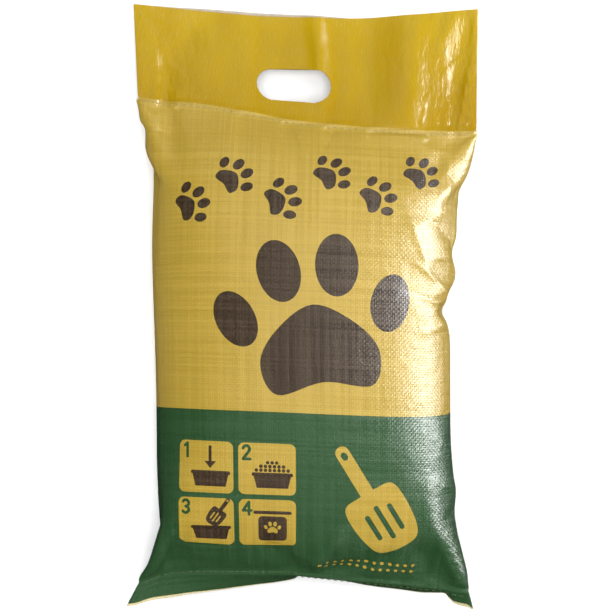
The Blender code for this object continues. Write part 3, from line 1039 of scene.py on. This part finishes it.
def film_header(materials):
    """The carry header: a tube of film whose lower end is sewn into the sack's mouth, with a hand slot."""
    piece = Piece()
    walls = [film_wall(True), film_wall(False)]
    key = {}
    index = []
    all_i = []
    all_v = []
    for on_front, (flat, _) in zip((True, False), walls):
        numbers = []
        for u, v in flat:
            at_fold = abs(abs(u) - HALF_FLAT) < 1e-9
            name = (round(u, 7), round(v, 7), on_front or at_fold)
            if name not in key:
                key[name] = len(key)
                all_i.append(float(DRAPE.ring(u, on_front)))
                all_v.append(v)
            numbers.append(key[name])
        index.append(np.array(numbers))
    all_i = np.array(all_i)
    all_v = np.array(all_v)
    sewn_in = 1 - smooth((all_v - mouth_v(DRAPE.flat(all_i)[0]) - LIP) / SEWN_BLEND)
    outer = piece.add(all_i, all_v, FILM_DEPTH * sewn_in)
    inner = piece.add(all_i, all_v, FILM_DEPTH * sewn_in + FILM)
    edges = {}
    for (flat, tri), numbers, on_front in zip(walls, index, (True, False)):
        for t in tri:
            ids = numbers[t]
            mapped = [film_corner(flat[k], on_front, 0) for k in t]
            piece.face(outer[ids], 0, mapped)
            inside = [film_corner(flat[k], on_front, 1) for k in t]
            piece.face(inner[ids][::-1], 1, inside[::-1])
            for a, b in ((0, 1), (1, 2), (2, 0)):
                edges[(int(ids[a]), int(ids[b]))] = (mapped[a], mapped[b])
    for (a, b), (first, second) in edges.items():
        if (b, a) in edges:
            continue
        mapped = [second, first, (first[0], first[1] + RIM_MAP), (second[0], second[1] + RIM_MAP)]
        piece.face([outer[b], outer[a], inner[a], inner[b]], 0, mapped, sharp=True)
    return piece.build("film_header_visual", materials)


# Threads.
MOUTH_THREAD = 0.0006
BOTTOM_THREAD = 0.0007
STITCH = 0.0070
SEAM_DIP = 0.0075
DIP_WIDTH = 0.02
MOUTH_SEAM = (-0.168, 0.168)
BOTTOM_SEAM = (-0.170, 0.170)
# One stitch: (share of its length, whether it is over the front cloth, how far it stands off the cloth).
STITCH_POINTS = [
    (0.06, True, 0.00025), (0.22, True, 0.00070), (0.40, True, 0.00070), (0.56, True, 0.00025),
    (0.62, False, 0.00025), (0.74, False, 0.00070), (0.88, False, 0.00070), (0.98, False, 0.00025),
]
SIDES = 8
# The thread's map: its edge, its length and its girth, and where its caps lie.
THREAD_MAP = (0.02, 0.96, 0.9)
CAP_MAP = (0.01, 0.96, 0.008, 0.02)


def bottom_seam_v(u):
    """Height of the bottom stitching, which runs lower in the cloth on the right."""
    return -SEAM_DIP * smooth(u / DIP_WIDTH + 0.5)


def stitch_path(height, u_from, u_to):
    """Centreline of a running stitch: over the front cloth, through both plies and along the back."""
    count = int(round((u_to - u_from) / STITCH))
    points = []
    for k in range(count):
        for share, on_front, lift in STITCH_POINTS:
            u = u_from + (k + share) * (u_to - u_from) / count
            point, _ = DRAPE.place(DRAPE.ring(np.array(u), on_front), np.array(height(u)), np.array(-lift))
            points.append(point)
    return np.array(points)


def thread_tube(name, path, radius, materials):
    """A round tube along path, with flat caps."""
    angles = np.arange(SIDES) * 2 * math.pi / SIDES
    rounds = []
    tangents = np.gradient(path, axis=0)
    tangents /= np.linalg.norm(tangents, axis=1, keepdims=True)
    up = np.array([0.0, 1.0, 0.0])
    for point, tangent in zip(path, tangents):
        across = np.cross(tangent, up)
        across /= np.linalg.norm(across)
        other = np.cross(across, tangent)
        rounds.append(point + radius * (np.cos(angles)[:, None] * across + np.sin(angles)[:, None] * other))
    last = len(rounds) - 1
    edge, long, girth = THREAD_MAP
    faces = []
    maps = []
    for r in range(last):
        for k in range(SIDES):
            corners = [(r, k), (r, k + 1), (r + 1, k + 1), (r + 1, k)]
            faces.append([a * SIDES + b % SIDES for a, b in corners])
            maps.append([(edge + long * a / last, edge + girth * b / SIDES) for a, b in corners])
    cap_x, cap_y, wide, high = CAP_MAP
    for first, middle, order in ((0, cap_x, -1), (last * SIDES, 1 - cap_x, 1)):
        faces.append([first + k for k in range(SIDES)][::order])
        maps.append([(middle + wide * math.cos(k), cap_y + high * math.sin(k)) for k in range(SIDES)])
    return mesh_object(name, np.concatenate(rounds), faces, maps, materials)


# Materials.
class Nodes:
    """A material's node tree, with one short call per node."""

    def __init__(self, name):
        self.material = bpy.data.materials.new(name)
        self.material.use_nodes = True
        self.tree = self.material.node_tree
        self.shader = next(n for n in self.tree.nodes if n.type == "BSDF_PRINCIPLED")

    def node(self, kind, **settings):
        made = self.tree.nodes.new("ShaderNode" + kind)
        for key, value in settings.items():
            setattr(made, key, value)
        return made

    def link(self, out, into):
        self.tree.links.new(out, into)

    def feed(self, socket, value):
        """Sets the socket to a number or a colour, or links an output to it."""
        if isinstance(value, bpy.types.NodeSocket):
            self.link(value, socket)
        else:
            socket.default_value = (*value, 1) if isinstance(value, tuple) else value

    def surface(self, **values):
        """Feeds the shader. An underscore in a name stands for a space."""
        for name, value in values.items():
            self.feed(self.shader.inputs[name.replace("_", " ")], value)

    def math(self, operation, *values):
        made = self.node("Math", operation=operation)
        for socket, value in zip(made.inputs, values):
            self.feed(socket, value)
        return made.outputs[0]

    def times(self, first, second):
        return self.math("MULTIPLY", first, second)

    def total(self, *terms):
        """The sum of (output, weight) terms."""
        parts = [self.times(value, weight) for value, weight in terms]
        found = parts[0]
        for part in parts[1:]:
            found = self.math("ADD", found, part)
        return found

    def split(self, place):
        """The x and the y of a place."""
        made = self.node("SeparateXYZ")
        self.link(place, made.inputs[0])
        return made.outputs[0], made.outputs[1]

    def flat_place(self, size):
        """The bake map, stretched to this size."""
        return self.scaled(self.node("UVMap", uv_map="OFBake").outputs[0], (*size, 1))

    def scaled(self, place, scale, shift=(0, 0, 0)):
        mapping = self.node("Mapping")
        mapping.inputs["Scale"].default_value = scale
        mapping.inputs["Location"].default_value = shift
        self.link(place, mapping.inputs[0])
        return mapping.outputs[0]

    def noise(self, place, scale, detail=2.0, rough=0.5):
        made = self.node("TexNoise")
        made.inputs["Scale"].default_value = scale
        made.inputs["Detail"].default_value = detail
        made.inputs["Roughness"].default_value = rough
        self.link(place, made.inputs["Vector"])
        return made.outputs[0]

    def ramp(self, value, low, high, a, b):
        """A number from a to b as value goes from low to high."""
        made = self.node("MapRange")
        for socket, number in zip(("From Min", "From Max", "To Min", "To Max"), (low, high, a, b)):
            made.inputs[socket].default_value = number
        self.link(value, made.inputs["Value"])
        return made.outputs[0]

    def mix(self, share, a, b):
        """Colour between a and b; each is a colour or an output."""
        made = self.node("Mix", data_type="RGBA")
        for number, value in ((0, share), (6, a), (7, b)):
            self.feed(made.inputs[number], value)
        return made.outputs[2]

    def bump(self, height, distance, strength=1.0):
        made = self.node("Bump")
        made.inputs["Distance"].default_value = distance
        made.inputs["Strength"].default_value = strength
        self.link(height, made.inputs["Height"])
        self.link(made.outputs[0], self.shader.inputs["Normal"])


# The size of each whole bake map in metres, where the front's middle lies in it, and the width of a tape.
SACK_MAP = (FLAT_WIDTH / MAP_WIDTH, MAP_LENGTH / MAP_SHARE)
FILM_MAP = (FLAT_WIDTH / MAP_WIDTH, FILM_MAP_LENGTH / FILM_MAP_SHARE)
MAP_MIDDLE = MAP_GUTTER * SACK_MAP[0] + HALF_FLAT
TAPE = 0.0023
# How far the tapes vary: the colour and the roughness go from one end to the other between these.
TAPES_LOW = 0.75
TAPES_HIGH = 1.25
# The cloth's right part, where it is dappled, and the film's sides, where it is crumpled, from the middle.
DAPPLED = (0.075, 0.125)
CRUMPLED = (0.070, 0.145)


def weave(nodes, place):
    """(height of the woven tapes from 0 to 1, tape-to-tape difference) over the flat cloth."""
    waves = [nodes.math("SINE", nodes.times(way, math.pi / TAPE)) for way in nodes.split(place)]
    across, along = [nodes.math("ABSOLUTE", wave) for wave in waves]
    checks = nodes.node("TexChecker")
    checks.inputs["Scale"].default_value = 1 / TAPE
    checks.inputs["Color1"].default_value = (1, 1, 1, 1)
    checks.inputs["Color2"].default_value = (0, 0, 0, 1)
    nodes.link(place, checks.inputs["Vector"])
    over = checks.outputs["Fac"]
    tapes = nodes.total((over, across), (nodes.math("SUBTRACT", 1.0, over), along))
    height = nodes.math("POWER", tapes, 0.5)
    warp = nodes.noise(nodes.scaled(place, (1 / TAPE, 6, 1)), 1.0, 0)
    weft = nodes.noise(nodes.scaled(place, (6, 1 / TAPE, 1), (40, 0, 0)), 1.0, 0)
    return height, nodes.math("ADD", warp, weft)


def cloth(name, colour, worn, wear, roughness):
    """Printed woven cloth. wear is how much of the colour below shows through, from 0 to 1."""
    nodes = Nodes(name)
    place = nodes.flat_place(SACK_MAP)
    height, tapes = weave(nodes, place)
    blotch = nodes.noise(place, 38, detail=3, rough=0.55)
    speck = nodes.noise(place, 520, detail=2, rough=0.6)
    low = nodes.ramp(height, 0.25, 1.0, 1.0, 0.0)
    tape = nodes.ramp(tapes, TAPES_LOW, TAPES_HIGH, 0.0, 1.0)
    rubbed = nodes.times(nodes.ramp(speck, 0.42, 0.66, 0.0, 1.0), nodes.ramp(blotch, 0.3, 0.7, 0.4, 1.0))
    mixed = nodes.mix(nodes.times(nodes.total((rubbed, 0.6), (tape, 0.4)), wear), colour, worn)
    # Painted shade: the colour darkens in the low places between the tapes; the blotches and the tape-to-tape
    # differences add the cloth's own tone.
    weave_shade_and_tone = nodes.total((low, 0.22), (nodes.ramp(blotch, 0.3, 0.7, 0, 1), 0.06))
    weave_shade_and_tone = nodes.math("ADD", weave_shade_and_tone, nodes.ramp(tapes, TAPES_LOW, TAPES_HIGH, 0.16, 0.0))
    dark = nodes.mix(weave_shade_and_tone, mixed, tuple(c * 0.35 for c in colour))
    rough = nodes.ramp(tapes, TAPES_LOW, TAPES_HIGH, roughness - 0.05, roughness + 0.08)
    nodes.surface(Base_Color=dark, Roughness=rough, Specular_IOR_Level=1.0)
    crinkle = nodes.noise(place, 130, detail=3, rough=0.5)
    grit = nodes.noise(place, 420, detail=2, rough=0.6)
    dapple = nodes.noise(place, 36, detail=4, rough=0.55)
    to_right = nodes.ramp(nodes.split(place)[0], *(MAP_MIDDLE + at for at in DAPPLED), 0.0, 1.0)
    dapple = nodes.times(dapple, to_right)
    nodes.bump(nodes.total((height, 0.00014), (crinkle, 0.0005), (grit, 0.00015), (dapple, 0.0018)), 1.0)
    return nodes.material


def bare_cloth(name, low, high):
    """Unprinted cloth: its inside, or its frayed cut edges."""
    nodes = Nodes(name)
    place = nodes.flat_place(SACK_MAP)
    height, _ = weave(nodes, place)
    fray = nodes.noise(place, 700, detail=2, rough=0.6)
    # Painted shade: the colour is darker in the low places between the tapes; the fray noise adds the fibres'
    # own tone.
    share = nodes.times(nodes.ramp(height, 0.2, 1, 0.4, 1), nodes.ramp(fray, 0.35, 0.6, 0.3, 1))
    nodes.surface(Base_Color=nodes.mix(share, low, high), Roughness=0.6)
    nodes.bump(height, 0.0002)
    return nodes.material


def header_film():
    """Golden yellow film with soft waves and fine scuffs."""
    nodes = Nodes("header_film")
    place = nodes.flat_place(FILM_MAP)
    waves = nodes.noise(nodes.scaled(place, (1.0, 0.35, 1)), 28, detail=3, rough=0.5)
    fine = nodes.noise(nodes.scaled(place, (1.0, 0.5, 1)), 190, detail=2, rough=0.5)
    scuffs = nodes.noise(nodes.scaled(place, (1.0, 0.12, 1)), 900, detail=2, rough=0.6)
    crumple = nodes.noise(nodes.scaled(place, (1.0, 0.45, 1)), 105, detail=4, rough=0.6)
    across, up = nodes.split(place)
    upwards = nodes.ramp(up, 0.045, 0.140, 0.0, 0.5)
    share = nodes.math("ADD", upwards, nodes.ramp(waves, 0.3, 0.7, 0.0, 0.5))
    colour = nodes.mix(share, (0.285, 0.168, 0.0003), (0.370, 0.245, 0.001))
    nodes.surface(Base_Color=colour, Roughness=nodes.ramp(scuffs, 0.3, 0.75, 0.20, 0.32))
    nodes.surface(Specular_IOR_Level=0.5, Coat_Weight=0.45, Coat_Roughness=0.20)
    aside = nodes.math("ABSOLUTE", nodes.math("SUBTRACT", across, MAP_MIDDLE))
    crumple = nodes.times(crumple, nodes.ramp(aside, *CRUMPLED, 0.04, 1.0))
    nodes.bump(nodes.total((waves, 0.0045), (fine, 0.00008), (crumple, 0.0026)), 1.0, strength=0.9)
    return nodes.material


def film_inside():
    """The film's unprinted side."""
    nodes = Nodes("film_inside")
    place = nodes.flat_place(FILM_MAP)
    haze = nodes.noise(nodes.scaled(place, (1.0, 0.4, 1)), 160, detail=3, rough=0.5)
    colour = nodes.mix(nodes.ramp(haze, 0.3, 0.7, 0, 1), (0.36, 0.31, 0.25), (0.46, 0.41, 0.34))
    nodes.surface(Base_Color=colour, Roughness=0.45)
    nodes.bump(haze, 0.0005)
    return nodes.material


def thread_material(name, low, high):
    """Twisted sewing thread."""
    nodes = Nodes(name)
    place = nodes.flat_place((900, 8))
    twist = nodes.math("SINE", nodes.math("ADD", *nodes.split(place)))
    # Painted shade: the colour follows the twist's bump and is darker in its grooves.
    nodes.surface(Base_Color=nodes.mix(nodes.ramp(twist, -1, 1, 0, 1), low, high), Roughness=0.7)
    nodes.bump(twist, 0.0001)
    return nodes.material


def floor_material():
    nodes = Nodes("studio_floor")
    source = nodes.node("TexCoord")
    grain = nodes.noise(source.outputs["Object"], 60, detail=2)
    colour = nodes.mix(nodes.ramp(grain, 0.3, 0.7, 0, 1), (0.93, 0.93, 0.93), (0.95, 0.95, 0.95))
    nodes.surface(Base_Color=colour, Roughness=0.9)
    return nodes.material


# Camera, light and floor.
CAMERA_HEIGHT = 2.40
CAMERA_AT = (0.006, -0.003)
VIEW_WIDTH = 0.619
VIEW_LEVEL = 0.035
SENSOR = 36.0
FLOOR = 4.0
FLOOR_DROP = 0.0005
SKY_LIGHT = 0.20
# Each light's name, place, target, size and watts, and whether it makes the highlights or lights evenly.
LIGHTS = [
    ("key_light", (1.50, 0.45, 0.95), (0, 0, 0.05), 1.5, 26.0, False),
    ("shine_light", (1.80, 0.30, 0.62), (0, 0, 0.05), 1.4, 96.0, True),
    ("top_light", (0.0, 0.0, 2.60), (0, 0, 0), 1.8, 58.0, False),
    ("left_light", (-1.7, 0.0, 1.60), (0, 0, 0), 1.7, 6.0, False),
    ("back_light", (-0.2, 1.7, 1.50), (0, 0, 0), 1.6, 22.0, False),
    ("front_light", (0.0, -1.9, 1.7), (0, 0, 0), 1.6, 28.0, False),
]


def studio():
    floor_mesh = bpy.data.meshes.new("floor")
    corners = [(-FLOOR, -FLOOR, 0), (FLOOR, -FLOOR, 0), (FLOOR, FLOOR, 0), (-FLOOR, FLOOR, 0)]
    floor_mesh.from_pydata(corners, [], [(0, 1, 2, 3)])
    floor_mesh.materials.append(floor_material())
    floor = bpy.data.objects.new("floor", floor_mesh)
    floor.location.z = -FLOOR_DROP
    floor.visible_glossy = False
    bpy.context.scene.collection.objects.link(floor)
    world = bpy.data.worlds.new("studio")
    world.use_nodes = True
    sky = world.node_tree.nodes["Background"]
    sky.inputs[0].default_value = (1.0, 1.0, 1.0, 1)
    sky.inputs[1].default_value = SKY_LIGHT
    world.cycles_visibility.glossy = False
    bpy.context.scene.world = world
    bpy.context.scene.view_settings.view_transform = "Standard"
    for light in LIGHTS:
        softbox(*light)
    camera = bpy.data.objects.new("camera", bpy.data.cameras.new("camera"))
    camera.data.sensor_width = SENSOR
    camera.data.lens = SENSOR * (CAMERA_HEIGHT - VIEW_LEVEL) / VIEW_WIDTH
    camera.location = (*CAMERA_AT, CAMERA_HEIGHT)
    bpy.context.scene.collection.objects.link(camera)
    bpy.context.scene.camera = camera


def softbox(name, at, towards, size, watts, glossy):
    """A square light that only makes highlights (glossy), or only lights the surfaces evenly."""
    light = bpy.data.lights.new(name, "AREA")
    light.shape = "SQUARE"
    light.size = size
    light.energy = watts
    obj = bpy.data.objects.new(name, light)
    obj.location = at
    obj.visible_glossy = glossy
    obj.visible_diffuse = not glossy
    obj.rotation_euler = (Vector(towards) - Vector(at)).to_track_quat("-Z", "Y").to_euler()
    bpy.context.scene.collection.objects.link(obj)


def main():
    yellow = cloth("yellow_cloth", (0.385, 0.258, 0.022), (0.44, 0.30, 0.036), 0.5, 0.38)
    green = cloth("green_print", (0.018, 0.064, 0.018), (0.040, 0.096, 0.038), 0.6, 0.37)
    brown = cloth("brown_print", (0.030, 0.017, 0.009), (0.095, 0.062, 0.028), 0.7, 0.40)
    # Painted shade: the cloth's inside is pale, and these dark olive colours stand for the shade in the slits
    # between the plies.
    inside = bare_cloth("shaded_cloth_inside", (0.060, 0.070, 0.030), (0.120, 0.130, 0.060))
    cut = bare_cloth("cut_edge", (0.300, 0.240, 0.090), (0.640, 0.560, 0.320))
    sack = woven_sack([yellow, green, brown, inside, cut])
    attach(sack, "root")
    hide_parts("filled_sack")
    header = film_header([header_film(), film_inside()])
    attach(header, "root")
    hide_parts("header_film")
    pale = thread_material("pale_thread", (0.25, 0.21, 0.09), (0.42, 0.36, 0.17))
    green_thread = thread_material("green_thread", (0.045, 0.090, 0.030), (0.110, 0.170, 0.065))
    mouth_path = stitch_path(mouth_v, *MOUTH_SEAM)
    bottom_path = stitch_path(bottom_seam_v, *BOTTOM_SEAM)
    for name, path, thick, thread in (
        ("mouth_stitching", mouth_path, MOUTH_THREAD, pale),
        ("bottom_stitching", bottom_path, BOTTOM_THREAD, green_thread),
    ):
        stitches = thread_tube(name + "_thread", path, thick / 2, [thread])
        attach(stitches, "root")
        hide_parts(name)
    studio()


main()
